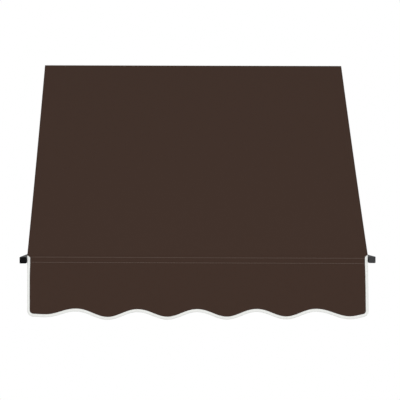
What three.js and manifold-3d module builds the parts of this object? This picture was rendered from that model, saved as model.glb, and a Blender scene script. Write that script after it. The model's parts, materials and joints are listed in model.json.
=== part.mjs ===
// A window awning: an open-sided cloth canopy on a lift-up frame of two arms and a front bar.
// Units are millimetres and +Z is up. The wall is the plane y = 0 and the awning stands out towards -Y.
// The origin is the middle of the head rail's back, and left and right are as seen from the front.
import * as THREE from "three";
import { mergeVertices } from "three/addons/utils/BufferGeometryUtils.js";
import Module from "manifold-3d";

const wasm = await Module();
wasm.setup();

// Overall sizes
const CANOPY_WIDTH = 985; // the cloth, edge to edge
const PROJECTION = 610; // from the wall to the front of the arms' end caps
const BAR_DROP = 620; // from the cloth's top edge down to the front bar's axis
const VALANCE_DROP = 172.7; // from the front bar's axis down to the lowest scallop

// Gaps between pieces that touch, and how round things are drawn
const GAP = 0.3;
const CUT_OVER = 1; // how far a cutter reaches past what it cuts
const ROUND = 24; // facets of a small round piece
const ARC_STEPS = 6; // half the number of straight pieces in an arc of a section
const CORNER_STEPS = 2; // the same for a small rounded corner

// Cloth
const CLOTH = 1;
const SEAM_SPACING = 15; // between the two stitched rows that close the bar's pocket
const SEAM_ALLOWANCE = 5; // cloth beyond each stitched row
const FOLD_RADIUS = 5; // where the canopy turns down behind the valance
const FOLD_BELOW_VALANCE = 2; // the turn ends this far below the valance's top edge
const POCKET_SETBACK = 1; // the pocket's ends stop this far inside the binding
const SCALLOP_PITCH = 172;
const SCALLOP_DEPTH = 22;
const SCALLOP_END_RISE = 5; // the outermost lobes rise this much towards the corners
const SCALLOP_STEPS = 12; // straight pieces in one scallop
const VALANCE_CORNER_RADIUS = 16;
const VALANCE_RISE = 13; // top edge of the valance above the bar's axis
const BINDING_WIDTH = 8.5;
const BINDING_TAPE = 0.8;

// Head rail: an extrusion with a round socket for the cord in the canopy's top hem
const RAIL_HEIGHT = 36;
const RAIL_PLATE = 2.5;
const RAIL_INSET = 1; // the rail's end caps stop this far inside the cloth's edge
const SOCKET_BORE = 11;
const SOCKET_WALL = 2.5;
const SOCKET_SINK = 1; // how far the socket's wall runs into the plate
const SOCKET_SLOT = 3.4;
const SOCKET_BELOW_TOP = 9; // from the rail's top edge down to the socket's axis
const CORD_DIAMETER = 7;
const CORD_END_GAP = 1; // between the cord and the caps' pegs
const RAIL_CAP = 2.5;
const RAIL_CAP_PEG = 8;
const RAIL_HOLE = 6;
const RAIL_HOLE_PITCH = 240;
const RAIL_HOLE_ABOVE_FOOT = 9;

// Arms and front bar
const ARM_TUBE = 19; // outside, square
const ARM_WALL = 1.5;
const ARM_CORNER_RADIUS = 2;
const ARM_GAP = 2; // between the cloth's edge and the arm
const ARM_TAIL = 12; // from the pivot back to the arm's rear end
const BAR_TO_ARM_END = 15; // from the bar's axis to the arm's front end
const BAR_DIAMETER = 12.7;
const BAR_WALL = 1.2;
const CAP_FLANGE = 3;
const CAP_EDGE = 0.8; // rounding of a cap's outer edge
const REAR_CAP_FLANGE = 2.5;
const CAP_PLUG_CLEAR = 1; // between a cap's plug and the bar or pivot behind it
const BAR_PLUG_FLANGE = 2;
const BAR_PLUG_LENGTH = 15;

// Wall brackets and pivots
const PIVOT_OUT = 22; // from the wall to the pivot's axis
const BRACKET_PLATE = 3;
const BRACKET_BEND = 1.5; // inside radius of the folds
const BRACKET_HEIGHT = 110;
const BRACKET_CORNER_RADIUS = 5;
const BRACKET_HOLE = 6.5;
const BRACKET_HOLE_SPACING = 80;
const EAR_RADIUS = 12;
const BOLT_DIAMETER = 6;
const BOLT_HEAD = 4;
const BOLT_TIP = 2; // thread left standing past the nut
const BOLT_CHAMFER = 0.8;
const HEX_FLATS = 10; // across the flats of the bolt's head and the nut
const NUT_HEIGHT = 5;
const NUT_COLLAR = 1.6; // the rounded collar of a locking nut
const NUT_COLLAR_INSET = 0.4;
const NUT_COLLAR_ROUND = 0.8;
const WASHER_DIAMETER = 12;
const WASHER = 1.2;
const BUSH_WALL = 1.2;
const BUSH_FLANGE = 1;
const BUSH_FLANGE_DIAMETER = 14;
const BUSH_LENGTH = 5; // how far a bush reaches into the arm

// Positions that follow from the sizes
// In the side plane u is the distance out from the wall and v is the height.
const SOCKET_RADIUS = SOCKET_BORE / 2 + SOCKET_WALL;
const SOCKET_OUT = RAIL_PLATE + SOCKET_RADIUS - SOCKET_SINK;
const SOCKET = new THREE.Vector2(SOCKET_OUT, RAIL_HEIGHT / 2 - SOCKET_BELOW_TOP);
const WRAP_RADIUS = SOCKET_RADIUS + GAP + CLOTH / 2;
const CLOTH_TOP = SOCKET.y + WRAP_RADIUS + CLOTH / 2;
const BAR_Z = CLOTH_TOP - BAR_DROP;
const ARM_END = PROJECTION - CAP_FLANGE - GAP;
const BAR = new THREE.Vector2(ARM_END - BAR_TO_ARM_END, BAR_Z);
const BAR_RADIUS = BAR_DIAMETER / 2;
const VALANCE_OUT = BAR.x + BAR_RADIUS + GAP + BINDING_TAPE + GAP + CLOTH / 2;
const HALF_WIDTH = CANOPY_WIDTH / 2;
const RAIL_LENGTH = CANOPY_WIDTH - 2 * (RAIL_INSET + RAIL_CAP + GAP);
const CORD_LENGTH = RAIL_LENGTH - 2 * (RAIL_CAP_PEG + CORD_END_GAP);
const POCKET_WIDTH = CANOPY_WIDTH - 2 * (BINDING_WIDTH + POCKET_SETBACK);
const ARM_X = HALF_WIDTH + ARM_GAP + ARM_TUBE / 2;
const BOLT_HOLE = BOLT_DIAMETER / 2 + GAP; // radius of every hole that the bolt passes through
const BUSH_BARREL = BOLT_HOLE + BUSH_WALL;
const FRONT_CAP_PLUG = BAR_TO_ARM_END - BAR_RADIUS - CAP_PLUG_CLEAR;
const REAR_CAP_PLUG = ARM_TAIL - BUSH_BARREL - CAP_PLUG_CLEAR;
const EAR_INSIDE = ARM_TUBE / 2 + BUSH_FLANGE + 2 * GAP;
const EAR_OUTSIDE = EAR_INSIDE + BRACKET_PLATE;

const SIDES = { left: -1, right: 1 };

const cloth = { color: 0x41322b, roughness: 0.9, metalness: 0 };
const tape = { color: 0xe9ebe6, roughness: 0.8, metalness: 0 };
const blackPaint = { color: 0x1c1c1d, roughness: 0.45, metalness: 0.2 };
const blackPlastic = { color: 0x161617, roughness: 0.55, metalness: 0 };
const paleNylon = { color: 0xd9d6cb, roughness: 0.5, metalness: 0 };
const aluminium = { color: 0xb7babd, roughness: 0.35, metalness: 1 };
const zincPlate = { color: 0xa6a8aa, roughness: 0.35, metalness: 1 };
const whiteCord = { color: 0xdcdad3, roughness: 0.6, metalness: 0 };

// Solids and meshes

function toSolid(geometry) {
  const bare = geometry.clone();
  bare.deleteAttribute("normal");
  bare.deleteAttribute("uv");
  const merged = mergeVertices(bare, 1e-4);
  const source = {
    numProp: 3,
    vertProperties: new Float32Array(merged.attributes.position.array),
    triVerts: new Uint32Array(merged.index.array),
  };
  return new wasm.Manifold(new wasm.Mesh(source));
}

function toGeometry(solid) {
  const source = solid.getMesh();
  const geometry = new THREE.BufferGeometry();
  geometry.setAttribute("position", new THREE.BufferAttribute(source.vertProperties, 3));
  geometry.setIndex(new THREE.BufferAttribute(source.triVerts, 1));
  geometry.computeVertexNormals();
  return geometry;
}

function join(...geometries) {
  return toGeometry(geometries.map(toSolid).reduce((whole, piece) => whole.add(piece)));
}

function cut(geometry, ...cutters) {
  return toGeometry(cutters.map(toSolid).reduce((whole, piece) => whole.subtract(piece), toSolid(geometry)));
}

function piece(name, geometry, finish, position = [0, 0, 0]) {
  const mesh = new THREE.Mesh(geometry, new THREE.MeshStandardMaterial(finish));
  mesh.name = name;
  mesh.position.set(...position);
  return mesh;
}

// Building blocks

// Extrudes a section drawn in (u, v) along X, centred on x = 0.
function alongX(section, length) {
  const options = { depth: length, bevelEnabled: false, curveSegments: ARC_STEPS * 2 };
  const geometry = new THREE.ExtrudeGeometry(section, options);
  const out = new THREE.Vector3(0, -1, 0);
  const up = new THREE.Vector3(0, 0, 1);
  const left = new THREE.Vector3(-1, 0, 0);
  geometry.applyMatrix4(new THREE.Matrix4().makeBasis(out, up, left));
  return geometry.translate(length / 2, 0, 0);
}

// Extrudes a section drawn in (x, z) outwards from u = start.
function outwards(section, start, depth, bevel = 0) {
  const options = {
    depth: depth - 2 * bevel,
    bevelEnabled: bevel > 0,
    bevelSize: bevel,
    bevelOffset: -bevel,
    bevelThickness: bevel,
    bevelSegments: 2,
    curveSegments: CORNER_STEPS,
  };
  const geometry = new THREE.ExtrudeGeometry(section, options);
  return geometry.rotateX(Math.PI / 2).translate(0, -start - bevel, 0);
}

function rodAlongX(radius, length, facets = ROUND) {
  return new THREE.CylinderGeometry(radius, radius, length, facets).rotateZ(Math.PI / 2);
}

function rodAlongY(radius, length) {
  return new THREE.CylinderGeometry(radius, radius, length, ROUND);
}

// Turns a closed profile of [radius, x] points about the X axis.
function turnedAlongX(profile) {
  const points = [...profile, profile[0]].map(([radius, x]) => new THREE.Vector2(radius, x));
  return new THREE.LatheGeometry(points, ROUND).rotateZ(-Math.PI / 2);
}

function roundedSquare(width, height, radius, Kind = THREE.Shape) {
  const outline = new Kind();
  const right = width / 2 - radius;
  const top = height / 2 - radius;
  outline.absarc(right, top, radius, 0, Math.PI / 2);
  outline.absarc(-right, top, radius, Math.PI / 2, Math.PI);
  outline.absarc(-right, -top, radius, Math.PI, 1.5 * Math.PI);
  outline.absarc(right, -top, radius, 1.5 * Math.PI, 2 * Math.PI);
  return outline;
}

function disc(centre, radius, Kind = THREE.Shape) {
  return new Kind().absarc(centre.x, centre.y, radius, 0, 2 * Math.PI);
}

// A strip of even thickness along a path, as a closed section.
function ribbon(path, thickness) {
  const spine = path.getPoints(ARC_STEPS).filter((p, i, all) => i === 0 || p.distanceTo(all[i - 1]) > 1e-3);
  const normals = spine.slice(1).map((p, i) => {
    const along = p.clone().sub(spine[i]).normalize();
    return new THREE.Vector2(-along.y, along.x);
  });
  const offset = (sign) => spine.map((p, i) => {
    const before = normals[Math.max(i - 1, 0)];
    const after = normals[Math.min(i, normals.length - 1)];
    const mitre = before.clone().add(after).normalize();
    return p.clone().addScaledVector(mitre, (sign * thickness) / 2 / mitre.dot(before));
  });
  return new THREE.Shape([...offset(1), ...offset(-1).reverse()]);
}

// Head rail, its end caps and the cord

function railSection() {
  const plate = new THREE.Shape();
  plate.moveTo(0, -RAIL_HEIGHT / 2);
  plate.lineTo(RAIL_PLATE, -RAIL_HEIGHT / 2);
  plate.lineTo(RAIL_PLATE, RAIL_HEIGHT / 2);
  plate.lineTo(0, RAIL_HEIGHT / 2);
  return plate;
}

function headRail() {
  const socket = alongX(disc(SOCKET, SOCKET_RADIUS), RAIL_LENGTH);
  const cutLength = RAIL_LENGTH + 2 * CUT_OVER;
  const bore = alongX(disc(SOCKET, SOCKET_BORE / 2), cutLength);
  const slotHeight = SOCKET_RADIUS + CUT_OVER;
  const slot = new THREE.BoxGeometry(cutLength, SOCKET_SLOT, slotHeight);
  slot.translate(0, -SOCKET.x, SOCKET.y + slotHeight / 2);
  const pairs = Math.max(1, Math.round(RAIL_LENGTH / RAIL_HOLE_PITCH / 2));
  const pitch = RAIL_LENGTH / (2 * pairs);
  const holes = Array.from({ length: 2 * pairs }, (_, i) => {
    const hole = rodAlongY(RAIL_HOLE / 2, RAIL_PLATE + 2 * CUT_OVER);
    const z = RAIL_HOLE_ABOVE_FOOT - RAIL_HEIGHT / 2;
    return hole.translate((i + 0.5 - pairs) * pitch, -RAIL_PLATE / 2, z);
  });
  return cut(join(alongX(railSection(), RAIL_LENGTH), socket), bore, slot, ...holes);
}

// The cap closes one end of the rail, and its peg points back into the socket.
function railCap(side) {
  const plate = alongX(railSection(), RAIL_CAP);
  const round = alongX(disc(SOCKET, SOCKET_RADIUS), RAIL_CAP);
  const pegLength = GAP + RAIL_CAP_PEG + RAIL_CAP / 2;
  const peg = alongX(disc(SOCKET, SOCKET_BORE / 2 - GAP), pegLength);
  return join(plate, round, peg.translate((-side * pegLength) / 2, 0, 0));
}

// Canopy: a hem round the cord, the slope, and a pocket that passes behind the bar

function slopeLine() {
  const turnHeight = BAR_Z + VALANCE_RISE - FOLD_BELOW_VALANCE;
  const turn = new THREE.Vector2(VALANCE_OUT - CLOTH - GAP - FOLD_RADIUS, turnHeight);
  const run = turn.clone().sub(SOCKET);
  const angle = run.angle() + Math.acos((WRAP_RADIUS - FOLD_RADIUS) / run.length()) - 2 * Math.PI;
  const normal = new THREE.Vector2(Math.cos(angle), Math.sin(angle));
  const foot = turn.clone().addScaledVector(normal, FOLD_RADIUS);
  const along = new THREE.Vector2(normal.y, -normal.x);
  return { turn, angle, foot, along };
}

function slopePath(slope) {
  const path = new THREE.Path();
  path.absarc(SOCKET.x, SOCKET.y, WRAP_RADIUS, Math.PI / 2, slope.angle, true);
  path.lineTo(slope.foot.x, slope.foot.y);
  return path;
}

function pocketPath(slope) {
  const wrap = BAR_RADIUS + GAP + CLOTH / 2;
  const seam = new THREE.Vector2(VALANCE_OUT - CLOTH - GAP, SEAM_SPACING / 2);
  const reach = new THREE.Vector2(seam.x - BAR.x, seam.y);
  const leave = reach.angle() + Math.acos(wrap / reach.length());
  const start = slope.foot.clone().addScaledVector(slope.along, -FOLD_RADIUS);
  const path = new THREE.Path();
  path.moveTo(start.x, start.y);
  path.absarc(slope.turn.x, slope.turn.y, FOLD_RADIUS, slope.angle, 0, true);
  path.lineTo(seam.x, BAR_Z + seam.y);
  path.absarc(BAR.x, BAR.y, wrap, leave, 2 * Math.PI - leave);
  path.lineTo(seam.x, BAR_Z - seam.y);
  path.lineTo(seam.x, BAR_Z - seam.y - SEAM_ALLOWANCE);
  return path;
}

function canopyPanel() {
  const loop = disc(SOCKET, CORD_DIAMETER / 2 + GAP + CLOTH);
  loop.holes.push(disc(SOCKET, CORD_DIAMETER / 2 + GAP, THREE.Path));
  const neck = new THREE.Path();
  neck.moveTo(SOCKET.x, SOCKET.y + CORD_DIAMETER / 2 + GAP + CLOTH / 2);
  neck.lineTo(SOCKET.x, CLOTH_TOP);
  const slope = slopeLine();
  return join(
    alongX(loop, CORD_LENGTH),
    alongX(ribbon(neck, CLOTH), CORD_LENGTH),
    alongX(ribbon(slopePath(slope), CLOTH), CANOPY_WIDTH),
    alongX(ribbon(pocketPath(slope), CLOTH), POCKET_WIDTH),
  );
}

// Valance and its binding

// The valance's two sides and scalloped foot, as points in (x, z), moved inwards by an inset.
function valanceEdge(inset, top) {
  const radius = VALANCE_CORNER_RADIUS;
  const foot = BAR_Z - VALANCE_DROP;
  const flat = HALF_WIDTH - radius;
  const lobes = Math.max(0, Math.floor(flat / SCALLOP_PITCH - 0.5));
  const lastLow = (lobes + 0.5) * SCALLOP_PITCH;
  const half = [];
  const steps = Math.round((lobes + 0.5) * SCALLOP_STEPS);
  for (let i = 0; i <= steps; i += 1) {
    const x = (lastLow * i) / steps;
    const turn = (2 * Math.PI * x) / SCALLOP_PITCH;
    const slope = ((-SCALLOP_DEPTH * Math.PI) / SCALLOP_PITCH) * Math.sin(turn);
    half.push({ x, z: foot + (SCALLOP_DEPTH / 2) * (1 + Math.cos(turn)), slope });
  }
  const tail = flat - lastLow;
  for (let i = 1; i <= SCALLOP_STEPS / 2; i += 1) {
    const part = i / (SCALLOP_STEPS / 2);
    const slope = ((SCALLOP_END_RISE * Math.PI) / 2 / tail) * Math.sin(Math.PI * part);
    const z = foot + (SCALLOP_END_RISE / 2) * (1 - Math.cos(Math.PI * part));
    half.push({ x: lastLow + tail * part, z, slope });
  }
  const points = half.map(({ x, z, slope }) => {
    const inward = new THREE.Vector2(-slope, 1).normalize();
    return new THREE.Vector2(x, z).addScaledVector(inward, inset);
  });
  const corner = new THREE.Path();
  corner.absarc(flat, foot + SCALLOP_END_RISE + radius, radius - inset, 1.5 * Math.PI, 2 * Math.PI);
  points.push(...corner.getPoints(ARC_STEPS).slice(1));
  points.push(new THREE.Vector2(HALF_WIDTH - inset, top));
  const mirrored = points.slice(1).map((p) => new THREE.Vector2(-p.x, p.y));
  return [...mirrored.reverse(), ...points];
}

function valance() {
  const edge = valanceEdge(BINDING_TAPE + GAP, BAR_Z + VALANCE_RISE);
  return outwards(new THREE.Shape(edge), VALANCE_OUT - CLOTH / 2, CLOTH);
}

function valanceBinding() {
  const top = BAR_Z + VALANCE_RISE;
  const band = new THREE.Shape([...valanceEdge(0, top), ...valanceEdge(BINDING_WIDTH, top).reverse()]);
  const slotDepth = CLOTH + 2 * GAP;
  const depth = slotDepth + 2 * BINDING_TAPE;
  const slot = new THREE.Shape(valanceEdge(BINDING_TAPE, top + CUT_OVER));
  return cut(
    outwards(band, VALANCE_OUT - depth / 2, depth),
    outwards(slot, VALANCE_OUT - slotDepth / 2, slotDepth),
  );
}

// Arms, caps and the front bar

function arm() {
  const start = PIVOT_OUT - ARM_TAIL;
  const section = roundedSquare(ARM_TUBE, ARM_TUBE, ARM_CORNER_RADIUS);
  const bore = ARM_TUBE - 2 * ARM_WALL;
  section.holes.push(roundedSquare(bore, bore, ARM_CORNER_RADIUS / 2, THREE.Path));
  return outwards(section, start, ARM_END - start);
}

// The bar's hole goes through one wall only, the one towards the canopy.
function armWithHoles(side) {
  const pivot = rodAlongX(BUSH_BARREL + GAP, ARM_TUBE + 2 * CUT_OVER);
  const barHole = rodAlongX(BAR_RADIUS + GAP, ARM_TUBE);
  return cut(
    arm(),
    pivot.translate(0, -PIVOT_OUT, 0),
    barHole.translate(-side * (ARM_TUBE / 2), -BAR.x, 0),
  );
}

// A cap whose flange faces outwards and whose plug sits in the tube behind it.
function armCap(flange, plug) {
  const bore = ARM_TUBE - 2 * ARM_WALL - 2 * GAP;
  const head = outwards(roundedSquare(ARM_TUBE, ARM_TUBE, ARM_CORNER_RADIUS), 0, flange, CAP_EDGE);
  const plugSection = roundedSquare(bore, bore, ARM_CORNER_RADIUS / 2);
  const tail = outwards(plugSection, -GAP - plug, GAP + plug + flange / 2);
  return join(head, tail);
}

function frontBar() {
  const length = 2 * (ARM_X + ARM_TUBE / 2 - ARM_WALL - GAP - BAR_PLUG_FLANGE - GAP);
  const section = disc(new THREE.Vector2(), BAR_RADIUS);
  section.holes.push(disc(new THREE.Vector2(), BAR_RADIUS - BAR_WALL, THREE.Path));
  return alongX(section, length);
}

// The plug's flange faces +X and the rest of it reaches back into the bar.
function barPlug() {
  const flange = rodAlongX(BAR_RADIUS, BAR_PLUG_FLANGE).translate(-BAR_PLUG_FLANGE / 2, 0, 0);
  const body = rodAlongX(BAR_RADIUS - BAR_WALL - GAP, BAR_PLUG_LENGTH);
  return join(flange, body.translate(-BAR_PLUG_FLANGE / 2 - BAR_PLUG_LENGTH / 2, 0, 0));
}

// Wall bracket and pivot

function wallBracket() {
  const bend = BRACKET_BEND + BRACKET_PLATE;
  const channel = new THREE.Shape();
  const reach = PIVOT_OUT + EAR_RADIUS;
  channel.moveTo(EAR_OUTSIDE, reach);
  channel.lineTo(EAR_INSIDE, reach);
  channel.absarc(EAR_INSIDE - BRACKET_BEND, bend, BRACKET_BEND, 0, -Math.PI / 2, true);
  channel.absarc(BRACKET_BEND - EAR_INSIDE, bend, BRACKET_BEND, -Math.PI / 2, -Math.PI, true);
  channel.lineTo(-EAR_INSIDE, reach);
  channel.lineTo(-EAR_OUTSIDE, reach);
  channel.absarc(bend - EAR_OUTSIDE, bend, bend, Math.PI, 1.5 * Math.PI);
  channel.absarc(EAR_OUTSIDE - bend, bend, bend, 1.5 * Math.PI, 2 * Math.PI);
  const folds = { depth: 2 * EAR_RADIUS, bevelEnabled: false, curveSegments: CORNER_STEPS };
  const folded = new THREE.ExtrudeGeometry(channel, folds);
  folded.scale(1, -1, -1).translate(0, 0, EAR_RADIUS);

  const ear = new THREE.Shape();
  ear.moveTo(-CUT_OVER, EAR_RADIUS);
  ear.lineTo(-CUT_OVER, -EAR_RADIUS);
  ear.absarc(PIVOT_OUT, 0, EAR_RADIUS, -Math.PI / 2, Math.PI / 2);
  const ears = toSolid(folded).intersect(toSolid(alongX(ear, 2 * (EAR_OUTSIDE + CUT_OVER))));

  const width = 2 * (EAR_OUTSIDE - bend);
  const back = outwards(roundedSquare(width, BRACKET_HEIGHT, BRACKET_CORNER_RADIUS), 0, BRACKET_PLATE);
  const holes = [-1, 1].map((end) => {
    const hole = rodAlongY(BRACKET_HOLE / 2, BRACKET_PLATE + 2 * CUT_OVER);
    return hole.translate(0, -BRACKET_PLATE / 2, (end * BRACKET_HOLE_SPACING) / 2);
  });
  const pivot = rodAlongX(BOLT_HOLE, 2 * (EAR_OUTSIDE + CUT_OVER)).translate(0, -PIVOT_OUT, 0);
  return cut(toGeometry(ears.add(toSolid(back))), pivot, ...holes);
}

// The bolt's head is on the +X side, with a washer under it and another under the nut.
function pivotBolt() {
  const headStart = EAR_OUTSIDE + GAP + WASHER + GAP;
  const tip = headStart + NUT_HEIGHT + NUT_COLLAR + BOLT_TIP;
  const radius = BOLT_DIAMETER / 2;
  const head = rodAlongX(HEX_FLATS / Math.sqrt(3), BOLT_HEAD, 6).translate(headStart + BOLT_HEAD / 2, 0, 0);
  const shank = turnedAlongX([
    [0, headStart + BOLT_HEAD / 2],
    [radius, headStart + BOLT_HEAD / 2],
    [radius, BOLT_CHAMFER - tip],
    [radius - BOLT_CHAMFER, -tip],
    [0, -tip],
  ].reverse());
  return join(head, shank);
}

function pivotNut() {
  const whole = NUT_HEIGHT + NUT_COLLAR;
  const body = rodAlongX(HEX_FLATS / Math.sqrt(3), NUT_HEIGHT, 6).translate(NUT_HEIGHT / 2, 0, 0);
  const collarRadius = HEX_FLATS / 2 - NUT_COLLAR_INSET;
  const collar = turnedAlongX([
    [0, NUT_HEIGHT / 2],
    [collarRadius, NUT_HEIGHT / 2],
    [collarRadius, whole - NUT_COLLAR_ROUND],
    [collarRadius - NUT_COLLAR_ROUND, whole],
    [0, whole],
  ]);
  const bore = rodAlongX(BOLT_HOLE, whole + 2 * CUT_OVER).translate(whole / 2, 0, 0);
  return cut(join(body, collar), bore);
}

function washer() {
  return turnedAlongX([
    [BOLT_HOLE, 0],
    [WASHER_DIAMETER / 2, 0],
    [WASHER_DIAMETER / 2, WASHER],
    [BOLT_HOLE, WASHER],
  ]);
}

// A bush whose flange faces +X.
function pivotBush() {
  return turnedAlongX([
    [BOLT_HOLE, -BUSH_LENGTH],
    [BUSH_BARREL, -BUSH_LENGTH],
    [BUSH_BARREL, 0],
    [BUSH_FLANGE_DIAMETER / 2, 0],
    [BUSH_FLANGE_DIAMETER / 2, BUSH_FLANGE],
    [BOLT_HOLE, BUSH_FLANGE],
  ]);
}

// Assembly

const awning = new THREE.Group();
awning.name = "window_awning";

awning.add(piece("head_rail", headRail(), aluminium));
awning.add(piece("hem_cord", alongX(disc(SOCKET, CORD_DIAMETER / 2), CORD_LENGTH), whiteCord));
awning.add(piece("canopy_panel", canopyPanel(), cloth));
awning.add(piece("front_bar", frontBar(), blackPaint, [0, -BAR.x, BAR_Z]));
awning.add(piece("valance", valance(), cloth));
awning.add(piece("valance_binding", valanceBinding(), tape));

for (const [name, side] of Object.entries(SIDES)) {
  const facing = side > 0 ? 0 : Math.PI; // turns a piece made for the right side to face left
  const railCapX = side * (RAIL_LENGTH / 2 + GAP + RAIL_CAP / 2);
  awning.add(piece(`rail_cap_${name}`, railCap(side), blackPlastic, [railCapX, 0, 0]));
  const plugX = side * (ARM_X + ARM_TUBE / 2 - ARM_WALL - GAP);
  const plug = piece(`bar_plug_${name}`, barPlug(), blackPlastic, [plugX, -BAR.x, BAR_Z]);
  plug.rotation.y = facing;
  awning.add(plug);

  const flank = new THREE.Group();
  flank.name = `flank_${name}`;
  flank.position.set(side * ARM_X, 0, BAR_Z);
  flank.add(piece(`wall_bracket_${name}`, wallBracket(), blackPaint));
  flank.add(piece(`arm_${name}`, armWithHoles(side), blackPaint));
  const frontCap = piece(`arm_front_cap_${name}`, armCap(CAP_FLANGE, FRONT_CAP_PLUG), blackPlastic);
  frontCap.position.y = -ARM_END - GAP;
  flank.add(frontCap);
  const rearCap = piece(`arm_rear_cap_${name}`, armCap(REAR_CAP_FLANGE, REAR_CAP_PLUG), blackPlastic);
  rearCap.position.y = ARM_TAIL - PIVOT_OUT + GAP;
  rearCap.rotation.z = Math.PI;
  flank.add(rearCap);

  const pivot = new THREE.Group();
  pivot.name = `pivot_${name}`;
  pivot.position.y = -PIVOT_OUT;
  pivot.rotation.y = facing;
  const nutStart = EAR_OUTSIDE + 2 * GAP + WASHER;
  const headWasher = piece(`pivot_head_washer_${name}`, washer(), zincPlate, [EAR_OUTSIDE + GAP, 0, 0]);
  const nutWasherX = -EAR_OUTSIDE - GAP - WASHER;
  const nutWasher = piece(`pivot_nut_washer_${name}`, washer(), zincPlate, [nutWasherX, 0, 0]);
  const nut = piece(`pivot_nut_${name}`, pivotNut(), zincPlate, [-nutStart, 0, 0]);
  nut.rotation.y = Math.PI;
  const bushSeat = ARM_TUBE / 2 + GAP;
  const outerBush = piece(`pivot_outer_bush_${name}`, pivotBush(), paleNylon, [bushSeat, 0, 0]);
  const innerBush = piece(`pivot_inner_bush_${name}`, pivotBush(), paleNylon, [-bushSeat, 0, 0]);
  innerBush.rotation.y = Math.PI;
  const bolt = piece(`pivot_bolt_${name}`, pivotBolt(), zincPlate);
  pivot.add(bolt, headWasher, nutWasher, nut, outerBush, innerBush);
  flank.add(pivot);
  awning.add(flank);
}

export default awning;
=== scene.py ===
# %% [markdown]
# # A window awning
# The object is a cloth canopy that slopes from a rail on the wall down to a front bar, with a scalloped
# valance hanging from the bar and two square arms that carry it. The solid pieces come from the packed
# model, which is loaded here as a fixed frame: every other piece is placed from its boxes, so nothing has
# to be fitted afterwards.

# %% Load the frame
import json
import math

import bmesh
import bpy
import numpy as np
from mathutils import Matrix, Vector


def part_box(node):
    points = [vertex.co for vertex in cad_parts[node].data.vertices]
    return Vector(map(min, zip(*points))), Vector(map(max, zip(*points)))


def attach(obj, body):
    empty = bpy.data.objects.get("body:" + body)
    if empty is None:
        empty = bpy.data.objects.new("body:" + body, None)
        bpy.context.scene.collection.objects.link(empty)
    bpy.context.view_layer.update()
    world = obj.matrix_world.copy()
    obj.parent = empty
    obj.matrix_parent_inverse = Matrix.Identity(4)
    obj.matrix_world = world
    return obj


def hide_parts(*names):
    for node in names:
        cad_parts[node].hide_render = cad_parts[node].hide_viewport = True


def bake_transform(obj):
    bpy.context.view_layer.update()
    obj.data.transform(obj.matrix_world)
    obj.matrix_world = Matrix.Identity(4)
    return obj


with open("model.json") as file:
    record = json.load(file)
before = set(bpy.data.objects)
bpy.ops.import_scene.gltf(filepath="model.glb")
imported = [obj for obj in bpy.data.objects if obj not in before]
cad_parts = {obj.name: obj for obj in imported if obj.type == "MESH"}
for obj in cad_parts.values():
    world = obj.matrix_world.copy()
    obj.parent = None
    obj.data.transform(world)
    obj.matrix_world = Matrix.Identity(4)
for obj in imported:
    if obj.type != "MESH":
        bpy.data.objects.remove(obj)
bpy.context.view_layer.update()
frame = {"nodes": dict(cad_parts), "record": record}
nodes = frame["nodes"]
record = frame["record"]
scene = bpy.context.scene
body_of_node = {node: body for body, members in record["behaviour"]["bodies"].items() for node in members}

# %% [markdown]
# ## Sizes
# All lengths are in metres. In a side view `u` is the distance out from the wall, which is minus Y, and
# `v` is the height, which is Z. Places are read from the solids' boxes. Only what a box can't tell, such
# as the pitch of the scallops, is written here again.

# %% Read the places of the main pieces
GAP = 0.0003
SEAM_SPACING = 0.015
SEAM_ALLOWANCE = 0.005
FOLD_RADIUS = 0.005
FOLD_BELOW_VALANCE = 0.002
SCALLOP_PITCH = 0.172
SCALLOP_DEPTH = 0.022
TAPE_WIDTH = 0.0085
TAPE = 0.0008
POCKET_SETBACK = 0.001


def side_centre(node):
    low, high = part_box(node)
    return np.array([-(low.y + high.y) / 2, (low.z + high.z) / 2])


_, canopy_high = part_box("canopy_panel")
valance_low, valance_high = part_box("valance")
binding_low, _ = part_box("valance_binding")
bar_low, bar_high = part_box("front_bar")
cord_low, cord_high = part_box("hem_cord")

HALF_WIDTH = canopy_high.x
CLOTH = valance_high.y - valance_low.y
CORD = side_centre("hem_cord")
CORD_RADIUS = (cord_high.z - cord_low.z) / 2
BAR = side_centre("front_bar")
BAR_RADIUS = (bar_high.z - bar_low.z) / 2
VALANCE_OUT = side_centre("valance")[0]
VALANCE_TOP = valance_high.z
VALANCE_FOOT = binding_low.z
WRAP_RADIUS = canopy_high.z - CORD[1] - CLOTH / 2
POCKET_HALF = HALF_WIDTH - TAPE_WIDTH - POCKET_SETBACK
HEAD_HALF = cord_high.x
print(f"cloth {2 * HALF_WIDTH:.3f} m wide, bar at u {BAR[0]:.4f} v {BAR[1]:.4f}")

# %% [markdown]
# ## Camera
# The photograph looks almost straight at the wall, from a little left of the middle and a little above
# the front bar, through a long lens. The slope's two side edges lean outwards towards the bar: how fast
# they do gives the distance, and how unequally they do gives the sideways step.

# %% Place the camera
CAMERA_PLACE = (-0.1008, -4.5022, -0.4287)
CAMERA_YAW = math.radians(1.56)
FOCAL_PIXELS = 1350.5
IMAGE_PIXELS = 400

camera_data = bpy.data.cameras.new("camera")
camera_data.sensor_width = 36
camera_data.lens = FOCAL_PIXELS * camera_data.sensor_width / IMAGE_PIXELS
camera_data.clip_end = 100
camera = bpy.data.objects.new("camera", camera_data)
camera.location = CAMERA_PLACE
camera.rotation_euler = (math.pi / 2, 0, -CAMERA_YAW)
scene.collection.objects.link(camera)
scene.camera = camera
print(f"camera: {camera_data.lens:.1f} mm lens")

# %% [markdown]
# ## White surroundings
# The photograph is cut out on white. The world is therefore plain white to every ray that shows it:
# camera, glossy and transmission rays. To all other rays it is dimmer, because there it only fills the
# shadows. A small helper adds nodes here and in all later trees.

# %% Build the world
WORLD_FILL = 0.50


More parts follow.
